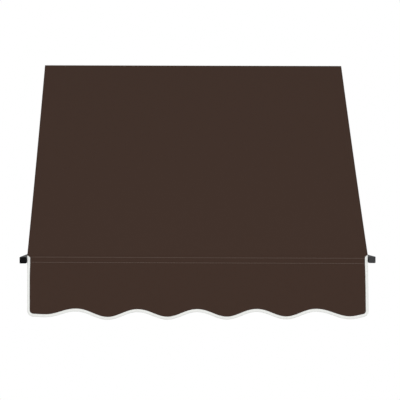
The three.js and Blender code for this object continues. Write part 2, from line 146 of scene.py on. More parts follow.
def add_node(tree, kind, inputs=None, **settings):
    """Adds a node. inputs maps a socket's name or number to a value, or to an output to link from."""
    made = tree.nodes.new(kind)
    for name, value in settings.items():
        setattr(made, name, value)
    for name, value in (inputs or {}).items():
        if isinstance(value, bpy.types.NodeSocket):
            tree.links.new(value, made.inputs[name])
        else:
            made.inputs[name].default_value = value
    return made


def math_node(tree, operation, *values):
    made = add_node(tree, "ShaderNodeMath", dict(enumerate(values)), operation=operation)
    return made.outputs[0]


world = bpy.data.worlds.new("white_room")
world.use_nodes = True
sky = world.node_tree
sky.nodes.clear()
ray = add_node(sky, "ShaderNodeLightPath")
camera_or_glossy = math_node(sky, "MAXIMUM", ray.outputs["Is Camera Ray"], ray.outputs["Is Glossy Ray"])
seen = math_node(sky, "MAXIMUM", camera_or_glossy, ray.outputs["Is Transmission Ray"])
fill = add_node(sky, "ShaderNodeBackground", {"Color": (1, 1, 1, 1), "Strength": WORLD_FILL})
white = add_node(sky, "ShaderNodeBackground", {"Color": (1, 1, 1, 1), "Strength": 1.0})
both = add_node(sky, "ShaderNodeMixShader", {0: seen, 1: fill.outputs[0], 2: white.outputs[0]})
add_node(sky, "ShaderNodeOutputWorld", {"Surface": both.outputs[0]})
scene.world = world
scene.view_settings.view_transform = "Standard"
print("world:", len(sky.nodes), "nodes, fill", WORLD_FILL)

# %% [markdown]
# ## Main light
# Slope and valance are equally bright in the photograph, although one leans back and the other hangs. The
# main light therefore comes from the front, at about half the angle between the directions they face. It
# is large, so that the shadows stay soft.

# %% Hang the main light
KEY_POWER = 174
KEY_SIZE = 3.0
KEY_DISTANCE = 5.6
KEY_ELEVATION = math.radians(24)
KEY_AIM = np.array([0.0, -0.45, -0.35])

key_data = bpy.data.lights.new("key_light", "AREA")
key_data.shape = "SQUARE"
key_data.size = KEY_SIZE
key_data.energy = KEY_POWER
key = bpy.data.objects.new("key_light", key_data)
key.location = KEY_AIM + KEY_DISTANCE * np.array([0, -math.cos(KEY_ELEVATION), math.sin(KEY_ELEVATION)])
key.rotation_euler = (math.pi / 2 - KEY_ELEVATION, 0, 0)
scene.collection.objects.link(key)
print("main light at", [round(v, 2) for v in key.location])

# %% [markdown]
# ## Floor
# A pale disc lies well below the awning, out of the photograph's view. It throws a little light back up
# under the cloth. Towards its rim it fades to the world's white, so that no edge shows from other sides,
# and its underside is clear, so that the awning can be looked at from below.

# %% Lay the floor
FLOOR_BELOW = 0.62
FLOOR_RADIUS = 2.0
FLOOR_MIDDLE_Y = -0.3

floor_mesh = bpy.data.meshes.new("floor")
disc = bmesh.new()
bmesh.ops.create_circle(disc, cap_ends=True, radius=FLOOR_RADIUS, segments=96)
disc.to_mesh(floor_mesh)
disc.free()
floor = bpy.data.objects.new("floor", floor_mesh)
floor.location = (0, FLOOR_MIDDLE_Y, VALANCE_FOOT - FLOOR_BELOW)
scene.collection.objects.link(floor)

floor_finish = bpy.data.materials.new("pale_floor")
floor_finish.use_nodes = True
tree = floor_finish.node_tree
tree.nodes.clear()
place = add_node(tree, "ShaderNodeTexCoord")
reach = add_node(tree, "ShaderNodeVectorMath", {0: place.outputs["Object"]}, operation="LENGTH")
rim = add_node(
    tree,
    "ShaderNodeMapRange",
    {"Value": reach.outputs["Value"], "From Min": 0.45 * FLOOR_RADIUS, "From Max": 0.98 * FLOOR_RADIUS},
    interpolation_type="SMOOTHSTEP",
)
matte = add_node(tree, "ShaderNodeBsdfDiffuse", {"Color": (0.88, 0.88, 0.88, 1)})
glow = add_node(tree, "ShaderNodeEmission", {"Color": (1, 1, 1, 1), "Strength": 1.0})
fading = {0: rim.outputs[0], 1: matte.outputs[0], 2: glow.outputs[0]}
faded = add_node(tree, "ShaderNodeMixShader", fading)
facing = add_node(tree, "ShaderNodeNewGeometry")
clear = add_node(tree, "ShaderNodeBsdfTransparent")
one_sided = {0: facing.outputs["Backfacing"], 1: faded.outputs[0], 2: clear.outputs[0]}
shown = add_node(tree, "ShaderNodeMixShader", one_sided)
add_node(tree, "ShaderNodeOutputMaterial", {"Surface": shown.outputs[0]})
floor_mesh.materials.append(floor_finish)
print(f"floor: {FLOOR_RADIUS} m disc, {FLOOR_BELOW} m below the valance")

# %% [markdown]
# ## Shared surface effects
# Woven yarns and a fine grain serve several finishes each, so they are node groups, and the rail's drawn
# lines are built in the same way. All take a place, a scale and a spread, and give a height for bump and a
# tone that varies about one. The shader itself stays in the material.

# %% Helpers for shader groups


def start_group(name, scale_label, scale):
    """An empty group with its sockets, its input node and its output node."""
    group = bpy.data.node_groups.new(name, "ShaderNodeTree")
    group.interface.new_socket(name="Vector", in_out="INPUT", socket_type="NodeSocketVector")
    for label, value in ((scale_label, scale), ("Spread", 0.2)):
        socket = group.interface.new_socket(name=label, in_out="INPUT", socket_type="NodeSocketFloat")
        socket.default_value = value
    for label in ("Height", "Tone"):
        group.interface.new_socket(name=label, in_out="OUTPUT", socket_type="NodeSocketFloat")
    return group, group.nodes.new("NodeGroupInput"), group.nodes.new("NodeGroupOutput")


def noise(group, vector, scale, detail, roughness=0.5):
    made = add_node(
        group,
        "ShaderNodeTexNoise",
        {"Vector": vector, "Scale": scale, "Detail": detail, "Roughness": roughness},
    )
    return made.outputs["Fac"]


def finish_group(group, given, out, height, varied):
    """Ends a group. varied lies about a half and becomes the tone about one."""
    centred = math_node(group, "SUBTRACT", varied, 0.5)
    scaled = math_node(group, "MULTIPLY", centred, given.outputs["Spread"])
    group.links.new(height, out.inputs["Height"])
    group.links.new(math_node(group, "ADD", scaled, 1.0), out.inputs["Tone"])
    print("shader group:", group.name, "with", len(group.nodes), "nodes")
    return group


print("shader group helpers ready")

# %% [markdown]
# ## Woven yarns
# Awning cloth and binding tape are plain weaves: warp and weft take turns on top, like a chessboard. A
# picture of cloth would blur close up, so the weave is worked out: each yarn is a half sine wave, and the
# sum of the two cell numbers tells which of the two is on top. A slow noise stands for the slightly
# uneven dye.

# %% Build the yarn group


def yarn_group():
    group, given, out = start_group("crossing_yarns", "Yarns per metre", 1400.0)
    scaled = add_node(
        group,
        "ShaderNodeVectorMath",
        {0: given.outputs["Vector"], "Scale": given.outputs["Yarns per metre"]},
        operation="SCALE",
    )
    axes = add_node(group, "ShaderNodeSeparateXYZ", {0: scaled.outputs[0]})
    humps = []
    cells = []
    for axis in ("X", "Y"):
        turn = math_node(group, "MULTIPLY", axes.outputs[axis], math.pi)
        humps.append(math_node(group, "ABSOLUTE", math_node(group, "SINE", turn)))
        cells.append(math_node(group, "FLOOR", axes.outputs[axis]))
    odd = math_node(group, "FLOORED_MODULO", math_node(group, "ADD", *cells), 2.0)
    over = add_node(group, "ShaderNodeMix", {"Factor": odd, "A": humps[0], "B": humps[1]})
    slubs = noise(group, given.outputs["Vector"], 60.0, 5.0, 0.65)
    return finish_group(group, given, out, over.outputs[0], slubs)


YARNS = yarn_group()

# %% [markdown]
# ## Grain and drawn lines
# Powder coat and moulded plastic have small bumps and a slow drift of tone. An extruded rail has fine
# lines along its length from the die, which is the same noise stretched along X. Noise suits them all,
# because none has a pattern that repeats.

# %% Build the grain and line groups


def grain_group():
    group, given, out = start_group("fine_grain", "Scale", 900.0)
    bumps = noise(group, given.outputs["Vector"], given.outputs["Scale"], 3.0)
    drift = noise(group, given.outputs["Vector"], 24.0, 4.0, 0.6)
    return finish_group(group, given, out, bumps, drift)


def drawn_group():
    group, given, out = start_group("drawn_lines", "Scale", 700.0)
    stretched = add_node(
        group,
        "ShaderNodeMapping",
        {"Vector": given.outputs["Vector"], "Scale": (0.004, 1.0, 1.0)},
    )
    lines = noise(group, stretched.outputs[0], given.outputs["Scale"], 4.0, 0.6)
    return finish_group(group, given, out, lines, lines)


GRAIN = grain_group()
DRAWN = drawn_group()

# %% [markdown]
# ## Finishes
# Every finish is one Principled shader. Its colour and roughness are varied by a group's tone and its
# normal by the group's height. Cloth and tape read their own UV map, which runs along the yarns in
# metres, and the hard pieces read object coordinates.

# %% Write the recipe for a finish


def finish(name, group, group_values, colour, roughness, bump, coordinates="Object", **constants):
    """A material with one effect group. bump is the depth of the relief in metres."""
    made = bpy.data.materials.new(name)
    made.use_nodes = True
    tree = made.node_tree
    tree.nodes.clear()
    place = add_node(tree, "ShaderNodeTexCoord")
    effect = add_node(tree, "ShaderNodeGroup", node_tree=group)
    tree.links.new(place.outputs[coordinates], effect.inputs["Vector"])
    for label, value in group_values.items():
        effect.inputs[label].default_value = value
    tint = add_node(
        tree,
        "ShaderNodeVectorMath",
        {0: colour, "Scale": effect.outputs["Tone"]},
        operation="SCALE",
    )
    dull = math_node(tree, "MULTIPLY", effect.outputs["Tone"], roughness)
    relief = add_node(
        tree,
        "ShaderNodeBump",
        {"Height": effect.outputs["Height"], "Distance": bump, "Strength": 1.0},
    )
    shader = add_node(
        tree,
        "ShaderNodeBsdfPrincipled",
        {"Base Color": tint.outputs[0], "Roughness": dull, "Normal": relief.outputs[0]},
    )
    for label, value in constants.items():
        shader.inputs[label.replace("_", " ")].default_value = value
    add_node(tree, "ShaderNodeOutputMaterial", {"Surface": shader.outputs[0]})
    return made


print("finish recipe ready")

# %% [markdown]
# ## Cloth and thread
# The canopy and the valance are cut from the same brown cloth. The two seams are sewn with a paler
# thread, which is why they show as faint lines in the photograph. The side hems don't show there, so
# their thread has the cloth's colour.

# %% Make the cloth finishes
CLOTH_BROWN = (0.0482, 0.0272, 0.0195)
THREAD_BROWN = (0.165, 0.123, 0.104)

brown_cloth = finish(
    "brown_cloth", YARNS, {"Yarns per metre": 1300.0, "Spread": 0.16}, CLOTH_BROWN, 0.86, 0.00012,
    coordinates="UV", Specular_IOR_Level=0.1,
)
brown_thread = finish(
    "brown_thread", GRAIN, {"Scale": 2500.0, "Spread": 0.2}, THREAD_BROWN, 0.7, 0.00005,
    Specular_IOR_Level=0.3,
)
hem_thread = finish(
    "hem_thread", GRAIN, {"Scale": 2500.0, "Spread": 0.2}, CLOTH_BROWN, 0.7, 0.00005,
    Specular_IOR_Level=0.2,
)
white_tape = finish(
    "white_tape", YARNS, {"Yarns per metre": 1700.0, "Spread": 0.06}, (0.825, 0.835, 0.81), 0.8, 0.00010,
    coordinates="UV", Specular_IOR_Level=0.3,
)
white_thread = finish(
    "white_thread", GRAIN, {"Scale": 2500.0, "Spread": 0.08}, (0.74, 0.75, 0.73), 0.7, 0.00005,
)
print("cloth finishes:", brown_cloth.name, white_tape.name, "and three threads")

# %% [markdown]
# ## Paint, plastic and metal
# Arms, bar and brackets are powder coated black, and the caps are black plastic. The right front cap has a
# finish of its own: the same plastic made paler, which is painted light for the brighter reflection it
# shows. Rail and fasteners are bare metal.

# %% Make the hard finishes
black_paint = finish(
    "black_paint", GRAIN, {"Scale": 1100.0, "Spread": 0.3}, (0.0085, 0.0085, 0.0088), 0.62, 0.00003,
    Specular_IOR_Level=0.25,
)
black_plastic = finish(
    "black_plastic", GRAIN, {"Scale": 1700.0, "Spread": 0.25}, (0.0032, 0.0032, 0.0033), 0.6, 0.00002,
    Specular_IOR_Level=0.04,
)
# Painted light: a paler copy of the black plastic, standing in for the right front cap's brighter
# reflection.
painted_light_plastic = finish(
    "painted_light_plastic", GRAIN, {"Scale": 1700.0, "Spread": 0.25}, (0.042, 0.042, 0.043), 0.55, 0.00002,
    Specular_IOR_Level=0.1,
)
pale_nylon = finish(
    "pale_nylon", GRAIN, {"Scale": 1500.0, "Spread": 0.1}, (0.68, 0.66, 0.58), 0.45, 0.00002,
)
rail_aluminium = finish(
    "rail_aluminium", DRAWN, {"Scale": 900.0, "Spread": 0.35}, (0.60, 0.61, 0.63), 0.34, 0.00001,
    Metallic=1.0,
)
zinc_steel = finish(
    "zinc_steel", GRAIN, {"Scale": 500.0, "Spread": 0.5}, (0.56, 0.57, 0.57), 0.32, 0.00001,
    Metallic=1.0,
)
cord_plastic = finish(
    "cord_plastic", GRAIN, {"Scale": 1500.0, "Spread": 0.1}, (0.69, 0.68, 0.63), 0.6, 0.00002,
)
print("materials so far:", len(bpy.data.materials))

# %% [markdown]
# ## Hard pieces
# The tubes, brackets, caps and fasteners already have their true form as solids. A copy of each solid
# gets its vertices merged, its flat faces joined and its edges eased by a small bevel, because no real
# edge is perfectly sharp and the thin highlight along it is what makes metal and plastic look solid.

# %% Dress the solids
SHARP_ANGLE = math.radians(35)
FLAT_ANGLE = math.radians(0.5)


def link_piece(name, mesh):
    piece = bpy.data.objects.new(name, mesh)
    scene.collection.objects.link(piece)
    return piece


def applied(piece):
    """Turns a piece with modifiers into a plain mesh."""
    graph = bpy.context.evaluated_depsgraph_get()
    result = piece.evaluated_get(graph)
    mesh = bpy.data.meshes.new_from_object(result, preserve_all_data_layers=True, depsgraph=graph)
    piece.modifiers.clear()
    piece.data = mesh
    return piece


def dress(node, material, bevel):
    source = bmesh.new()
    source.from_mesh(nodes[node].data)
    bmesh.ops.remove_doubles(source, verts=source.verts, dist=2e-6)
    bmesh.ops.dissolve_limit(source, angle_limit=FLAT_ANGLE, verts=source.verts, edges=source.edges)
    mesh = bpy.data.meshes.new(node + "_finish")
    source.to_mesh(mesh)
    source.free()
    if "custom_normal" in mesh.attributes:
        mesh.attributes.remove(mesh.attributes["custom_normal"])
    piece = link_piece(node + "_finish", mesh)
    eased = piece.modifiers.new("eased_edges", "BEVEL")
    eased.width = bevel
    eased.segments = 2
    eased.limit_method = "ANGLE"
    eased.angle_limit = SHARP_ANGLE
    applied(piece)
    piece.data.shade_smooth()
    piece.data.set_sharp_from_angle(angle=SHARP_ANGLE)
    flat_first = piece.modifiers.new("flat_faces_first", "WEIGHTED_NORMAL")
    flat_first.keep_sharp = True
    applied(piece)
    piece.data.materials.clear()
    piece.data.materials.append(material)
    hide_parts(node)
    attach(piece, body_of_node[node])
    return piece


DRESSINGS = [
    (("head_rail",), rail_aluminium, 0.0003),
    (("rail_cap_left", "rail_cap_right"), black_plastic, 0.0005),
    (("hem_cord",), cord_plastic, 0.0005),
    (("wall_bracket_left", "wall_bracket_right"), black_paint, 0.0003),
    (("arm_left", "arm_right", "front_bar"), black_paint, 0.0003),
    (("arm_front_cap_left", "arm_rear_cap_left", "arm_rear_cap_right"), black_plastic, 0.0003),
    # The right front cap gets the paler plastic, which paints its brighter reflection.
    (("arm_front_cap_right",), painted_light_plastic, 0.0003),
    (("bar_plug_left", "bar_plug_right"), black_plastic, 0.0003),
]
PIVOT_DRESSINGS = [
    (("pivot_bolt", "pivot_nut", "pivot_head_washer", "pivot_nut_washer"), zinc_steel, 0.0002),
    (("pivot_outer_bush", "pivot_inner_bush"), pale_nylon, 0.0002),
]
for stems, material, bevel in PIVOT_DRESSINGS:
    names = tuple(f"{stem}_{side}" for stem in stems for side in ("left", "right"))
    DRESSINGS.append((names, material, bevel))
dressed = [dress(node, material, bevel) for names, material, bevel in DRESSINGS for node in names]
print("dressed solids:", len(dressed), "with", sum(len(p.data.polygons) for p in dressed), "faces")

# %% [markdown]
# ## Cloth as a thin solid
# A sheet of cloth has two faces and an edge about a millimetre thick. A Solidify modifier could thicken a
# single grid, but hems and the tape's rounded fold are easier to shape when both faces are placed. Each
# cloth piece is therefore two matching grids of points, an outer and an inner face, joined round their
# rim. Its UV map is the flat cut in metres, so the weave follows every fold.

# %% Helpers for cloth


def out_and_up(x, side):
    """Points in space from x and from (u, v) in the side plane."""
    x, u, v = np.broadcast_arrays(x, side[..., 0], side[..., 1])
    return np.stack([x, -u, v], axis=-1)


def cloth_piece(name, outer, inner, flat, material):
    """A closed thin solid from two grids of points (rows, columns, 3) and their place on the flat cut."""
    rows, columns = outer.shape[:2]
    index = np.arange(rows * columns).reshape(rows, columns)
    below = index + rows * columns

    def quads(a, b, c, d):
        return np.stack([a, b, c, d], axis=-1).reshape(-1, 4)

    faces = np.concatenate(
        [
            quads(index[:-1, :-1], index[1:, :-1], index[1:, 1:], index[:-1, 1:]),
            quads(below[:-1, :-1], below[:-1, 1:], below[1:, 1:], below[1:, :-1]),
            quads(index[0, :-1], index[0, 1:], below[0, 1:], below[0, :-1]),
            quads(index[-1, 1:], index[-1, :-1], below[-1, :-1], below[-1, 1:]),
            quads(index[1:, 0], index[:-1, 0], below[:-1, 0], below[1:, 0]),
            quads(index[:-1, -1], index[1:, -1], below[1:, -1], below[:-1, -1]),
        ]
    )
    mesh = bpy.data.meshes.new(name)
    points = np.concatenate([outer.reshape(-1, 3), inner.reshape(-1, 3)])
    mesh.from_pydata(points.tolist(), [], faces.tolist())
    corners = np.empty(len(mesh.loops), dtype=np.int32)
    mesh.loops.foreach_get("vertex_index", corners)
    cut = flat.reshape(-1, 2)
    layer = mesh.uv_layers.new(name="flat_cut")
    layer.data.foreach_set("uv", cut[corners % len(cut)].astype(np.float32).ravel())
    mesh.shade_smooth()
    mesh.set_sharp_from_angle(angle=math.radians(50))
    mesh.materials.append(material)
    return link_piece(name, mesh)


def arc(centre, radius, start, end, count):
    angles = np.radians(np.linspace(start, end, count))
    return centre + radius * np.stack([np.cos(angles), np.sin(angles)], axis=-1)


def soft_corner(before, corner, after, reach, count=6):
    """A rounded corner that starts and ends at a reach from the sharp one."""
    first = corner + reach * (before - corner) / np.linalg.norm(before - corner)
    last = corner + reach * (after - corner) / np.linalg.norm(after - corner)
    t = np.linspace(0, 1, count)[:, None]
    return (1 - t) ** 2 * first + 2 * t * (1 - t) * corner + t**2 * last


def along(points):
    """Distance along a line of points, and the normal at each of them."""
    steps = np.linalg.norm(np.diff(points, axis=0), axis=1)
    distance = np.concatenate([[0], np.cumsum(steps)])
    tangent = np.gradient(points, distance, axis=0)
    tangent /= np.linalg.norm(tangent, axis=1)[:, None]
    normal = np.stack([-tangent[:, 1], tangent[:, 0]], axis=-1)
    return distance, normal


print("cloth helpers ready")

# %% [markdown]
# ## Canopy
# The canopy is one length of cloth. Its top is sewn round a cord that slides in the rail, it passes over
# the rail, runs down the slope, turns in behind the valance, goes round the back of the bar and is sewn
# to the valance again below it. Its two side edges are turned under as hems. A cloth simulation would
# give nothing more than the small sag of a stretched sheet, so the sag is a formula.

# %% Find the canopy's line in the side view
FILLET = 0.0012
SLOPE_ROWS = 64


def canopy_line():
    """Points from the cord to the lower seam, and the numbers of the slope's first and last point."""
    turn_out = VALANCE_OUT - CLOTH - GAP - FOLD_RADIUS
    turn = np.array([turn_out, VALANCE_TOP - FOLD_BELOW_VALANCE])
    run = turn - CORD
    lean = math.acos((WRAP_RADIUS - FOLD_RADIUS) / np.linalg.norm(run))
    angle = math.degrees(math.atan2(run[1], run[0]) + lean)
    loop = CORD_RADIUS + GAP + CLOTH / 2
    head = arc(CORD, loop, 110, 440, 28)
    over = CORD + np.array([FILLET, WRAP_RADIUS - FILLET])
    lip = arc(over, FILLET, 180, 95, 5)
    wrap = arc(CORD, WRAP_RADIUS, 80, angle, 8)
    fold = arc(turn, FOLD_RADIUS, angle, 0, 8)
    slope = np.linspace(wrap[-1], fold[0], SLOPE_ROWS)[1:-1]

    ring = BAR_RADIUS + GAP + CLOTH / 2
    seam_out = VALANCE_OUT - CLOTH - GAP
    upper = np.array([seam_out, BAR[1] + SEAM_SPACING / 2])
    lower = np.array([seam_out, BAR[1] - SEAM_SPACING / 2])
    reach = upper - BAR
    leave = math.degrees(math.atan2(reach[1], reach[0]) + math.acos(ring / np.linalg.norm(reach)))
    back = arc(BAR, ring, leave, 360 - leave, 24)
    end = lower - np.array([0, SEAM_ALLOWANCE])
    tuck_in = soft_corner(fold[-1], upper, back[0], FILLET)
    tuck_out = soft_corner(back[-1], lower, end, FILLET)
    points = np.concatenate([head, lip, wrap, slope, fold, tuck_in, back, tuck_out, [end]])
    first = len(head) + len(lip) + len(wrap) - 1
    return points, first, first + len(slope) + 1


canopy_side, slope_first, slope_last = canopy_line()
canopy_length, canopy_normal = along(canopy_side)
print(f"canopy: {canopy_length[-1]:.3f} m of cloth from cord to seam")

# %% [markdown]
# ## Canopy cloth
# Every row of the grid is a point of that line and every column a place across. Two narrow pairs of
# columns at each side make the step of the hem and the rounded edge. The head and the pocket are a little
# narrower than the slope.

# %% Say where the cloth lies
SAG = 0.005
RIPPLE = 0.0005
HEM_WIDTH = 0.020
HEM_FADE = 0.012
EDGE_EASE = 0.0003
CANOPY_COLUMNS = 120
CANOPY_WAVES = ((1.0, 0.31, 0.6), (0.6, 0.17, 2.0))
WRAP_LENGTH = 0.008
WIDENING_LENGTH = 0.006
NARROWING_LENGTH = 0.008


def canopy_columns():
    """Places across the cloth, with close pairs where a hem steps down and where the edge is rounded."""
    hem = HALF_WIDTH - HEM_WIDTH
    middle = np.linspace(-hem, hem, CANOPY_COLUMNS)
    rim = np.array([hem + EDGE_EASE, hem + HEM_WIDTH / 2, HALF_WIDTH - EDGE_EASE, HALF_WIDTH])
    return np.concatenate([-rim[::-1], middle, rim])


def smooth_step(value, start, end):
    t = np.clip((value - start) / (end - start), 0, 1)
    return t * t * (3 - 2 * t)


def slope_share(distance):
    start = canopy_length[slope_first]
    return np.clip((distance - start) / (canopy_length[slope_last] - start), 0, 1)


def ripples(x):
    """A sum of waves across the cloth, each given by its share, its length in metres and its phase."""
    return sum(share * np.sin(2 * np.pi * x / length + phase) for share, length, phase in CANOPY_WAVES)


def sag_at(x, distance):
    """How far the cloth lies under the straight line from rail to bar."""
    share = slope_share(distance)
    held = 4 * share * (1 - share)
    return held * (SAG + RIPPLE * ripples(x))


def canopy_half_width(distance):
    """Narrower at the head and the pocket, so that rail caps and binding stay clear."""
    wrap_start = canopy_length[slope_first] - WRAP_LENGTH
    fold_start = canopy_length[slope_last]
    widen = smooth_step(distance, wrap_start - WIDENING_LENGTH, wrap_start)
    narrow = smooth_step(distance, fold_start, fold_start + NARROWING_LENGTH)
    return HEAD_HALF + (HALF_WIDTH - HEAD_HALF) * widen - (HALF_WIDTH - POCKET_HALF) * narrow


columns = canopy_columns()
print(f"canopy grid: {len(canopy_length)} by {len(columns)} points, sag {SAG * 1000:.0f} mm")

# %% [markdown]
# ## The canopy's two faces
# The outer face lies half a thickness above the sagging middle and the inner face half a thickness below
# it. Under a hem the cloth is double, so the inner face drops by one more thickness there.

# %% Weave the canopy
distance = canopy_length[:, None]
x = columns[None, :] * canopy_half_width(distance) / HALF_WIDTH
sunk = -sag_at(x, distance)
on_rim = np.abs(columns) > HALF_WIDTH - EDGE_EASE / 2
in_hem = np.abs(columns) > HALF_WIDTH - HEM_WIDTH + EDGE_EASE / 2
start, end = canopy_length[slope_first], canopy_length[slope_last]
hem_in = smooth_step(canopy_length, start, start + HEM_FADE)
hem_here = hem_in - smooth_step(canopy_length, end - HEM_FADE, end)
ease = EDGE_EASE * on_rim[None, :]
outer_rise = sunk + CLOTH / 2 - ease
inner_rise = sunk - CLOTH / 2 + ease - CLOTH * in_hem[None, :] * hem_here[:, None]
side = canopy_side[:, None, :]
normal = canopy_normal[:, None, :]
canopy = cloth_piece(
    "canopy_cloth",
    out_and_up(x, side + normal * outer_rise[..., None]),
    out_and_up(x, side + normal * inner_rise[..., None]),
    np.stack(np.broadcast_arrays(columns[None, :], distance), axis=-1),
    brown_cloth,
)
print("canopy:", len(canopy.data.polygons), "faces")

# %% [markdown]
# ## Geometry Nodes trees
# Two rules shape more than one piece: how the valance hangs and how stitches follow a line. Each becomes a
# Geometry Nodes tree whose sizes are named inputs, so that a rule can be read, changed and used again
# without touching the pieces. A tree takes a piece's geometry, and it ends by turning instances into real
# faces and giving them their material.

# %% Helpers for trees


def start_tree(name, sizes):
    """An empty tree, its inputs' identifiers and its two end nodes. sizes maps names to values."""
    tree = bpy.data.node_groups.new(name, "GeometryNodeTree")
    kinds = {"Geometry": "NodeSocketGeometry"}
    kinds.update({label: "NodeSocketFloat" for label in sizes})
    kinds["Material"] = "NodeSocketMaterial"
    identifiers = {}
    for label, kind in kinds.items():
        socket = tree.interface.new_socket(name=label, in_out="INPUT", socket_type=kind)
        if label in sizes:
            socket.default_value = sizes[label]
        identifiers[label] = socket.identifier
    tree.interface.new_socket(name="Geometry", in_out="OUTPUT", socket_type="NodeSocketGeometry")
    return tree, identifiers, tree.nodes.new("NodeGroupInput"), tree.nodes.new("NodeGroupOutput")


def end_tree(tree, given, out, geometry):
    whole = add_node(tree, "GeometryNodeRealizeInstances", {"Geometry": geometry})
    painted = add_node(
        tree,
        "GeometryNodeSetMaterial",
        {"Geometry": whole.outputs[0], "Material": given.outputs["Material"]},
    )
    tree.links.new(painted.outputs[0], out.inputs["Geometry"])
    print("tree:", tree.name, "with", len(tree.nodes), "nodes")


def add_tree(piece, tree, identifiers, material, sizes):
    """Puts a tree on a piece as a modifier. A size that isn't given keeps the tree's own value."""
    modifier = piece.modifiers.new(tree.name, "NODES")
    modifier.node_group = tree
    modifier[identifiers["Material"]] = material
    for label, value in sizes.items():
        modifier[identifiers[label]] = value


print("tree helpers ready")

# %% [markdown]
# ## How the valance hangs
# The valance hangs in front of the bar, sewn to the canopy along two rows. Below them it is free, so it
# ripples a little, leans out a touch and sways slightly at the right. A cloth simulation would take long
# and come out a little different for each piece. Here the cloth, its binding and the line of the
# binding's stitches are made flat and go through the same tree, so they never part.

# %% Build the hanging tree
RIPPLE_DEPTH = 0.0022
VALANCE_WAVES = ((0.6, 0.43, 0.7), (0.4, 0.19, 2.1))
VALANCE_LEAN = 0.0015
LEAN_POWER = 1.5
RIGHT_SWAY = 0.0018
FREE_TOP = BAR[1] - SEAM_SPACING / 2


def hanging_tree():
    """Moves a flat point out and sideways by how far below the seam and how far across it lies."""
    sizes = {
        "Free top": FREE_TOP,
        "Foot": VALANCE_FOOT,
        "Half width": HALF_WIDTH,
        "Lean": VALANCE_LEAN,
        "Ripple depth": RIPPLE_DEPTH,
        "Right sway": RIGHT_SWAY,
    }
    tree, identifiers, given, out = start_tree("hanging_cloth", sizes)
    size = given.outputs
    position = tree.nodes.new("GeometryNodeInputPosition")
    x, _, z = add_node(tree, "ShaderNodeSeparateXYZ", {0: position.outputs[0]}).outputs
    falling = {"Value": z, "From Min": size["Free top"], "From Max": size["Foot"]}
    fall = add_node(tree, "ShaderNodeMapRange", falling).outputs[0]
    righting = {"Value": x, "From Min": 0.0, "From Max": size["Half width"]}
    right = add_node(tree, "ShaderNodeMapRange", righting).outputs[0]
    ripple = 0.0
    for share, length, phase in VALANCE_WAVES:
        wave = math_node(tree, "SINE", math_node(tree, "MULTIPLY_ADD", x, 2 * math.pi / length, phase))
        ripple = math_node(tree, "MULTIPLY_ADD", wave, share, ripple)
    swing = math_node(tree, "MULTIPLY_ADD", ripple, size["Ripple depth"], size["Lean"])
    outwards = math_node(tree, "MULTIPLY", math_node(tree, "POWER", fall, LEAN_POWER), swing)
    bow = math_node(tree, "SINE", math_node(tree, "MULTIPLY", fall, math.pi / 2))
    swayed = math_node(tree, "MULTIPLY", bow, math_node(tree, "POWER", right, 2.0))
    sideways = math_node(tree, "MULTIPLY", swayed, size["Right sway"])
    along_y = math_node(tree, "MULTIPLY", outwards, -1.0)
    offset = add_node(tree, "ShaderNodeCombineXYZ", {"X": sideways, "Y": along_y})
    moved = add_node(
        tree, "GeometryNodeSetPosition", {"Geometry": size["Geometry"], "Offset": offset.outputs[0]}
    )
    end_tree(tree, given, out, moved.outputs[0])
    return tree, identifiers


HANGING = hanging_tree()

# %% [markdown]
# ## From flat to hung
# A flat piece stands upright at the valance's place, as if it were a board. The tree then sets its points
# where the cloth hangs, and the result is kept as a plain mesh, which can be tied to the bodies later.

# %% Hang a flat piece


def flat_points(x, z, lift):
    """Points of the flat cut at the valance's place. lift is their distance in front of its middle."""
    return np.stack(np.broadcast_arrays(x, -(VALANCE_OUT + lift), z), axis=-1)


def hung(piece):
    """Hangs a flat piece and makes it a plain mesh."""
    add_tree(piece, *HANGING, piece.data.materials[0], {})
    return applied(piece)


print(f"valance hangs free for {FREE_TOP - VALANCE_FOOT:.3f} m")

# %% [markdown]
# ## The scalloped foot
# The foot is a row of lobes. Beyond the last low at each side it bends up and runs straight to a rounded
# corner. Points traced by hand would come out uneven, so the lobes are a cosine. In the photograph the row
# sits a little to the left, the two end lobes are wider, the left one is shallower, and the right end
# rises more.

# %% Set the foot's places
LEFT, RIGHT = -1, 1
LOBE_SHIFT = -0.003
LOBES = math.floor(HALF_WIDTH / SCALLOP_PITCH - 0.5)
LAST_CRESTS = {side: LOBES * SCALLOP_PITCH + side * LOBE_SHIFT for side in (LEFT, RIGHT)}
LAST_LOW = 0.439
LEFT_LIFT = 0.008
LEFT_LIFT_START = 0.300
END_BEND = 0.018
END_ANGLES = {LEFT: math.radians(3.6), RIGHT: math.radians(12)}
CORNER_RADIUS = 0.018
CORNER_START = HALF_WIDTH - CORNER_RADIUS
FOOT_ENDS = {side: CORNER_START + CORNER_RADIUS * math.sin(angle) for side, angle in END_ANGLES.items()}


def by_side(x, values):
    """The left or the right value for each x."""
    return np.where(x < 0, values[LEFT], values[RIGHT])


print(f"foot: {LOBES * 2 + 2} lobes, {SCALLOP_PITCH} m apart, end lows at {LAST_LOW} m")

# %% [markdown]
# ## The foot as a function
# The tape is set square to the edge, so the function gives the edge's slope as well as its height. The
# height is the wave of the lobes, or the rising end beyond the last low, plus the lift at the left. The
# corner starts at the angle of the rising end, so that the tape never kinks.

# %% Draw the foot


def left_lift(x):
    """How far the lobe at the left end is lifted, and the slope of that lift."""
    span = LAST_LOW - LEFT_LIFT_START
    share = np.clip((-x - LEFT_LIFT_START) / span, 0, 1)
    return LEFT_LIFT * share**2 * (3 - 2 * share), -LEFT_LIFT * 6 * share * (1 - share) / span


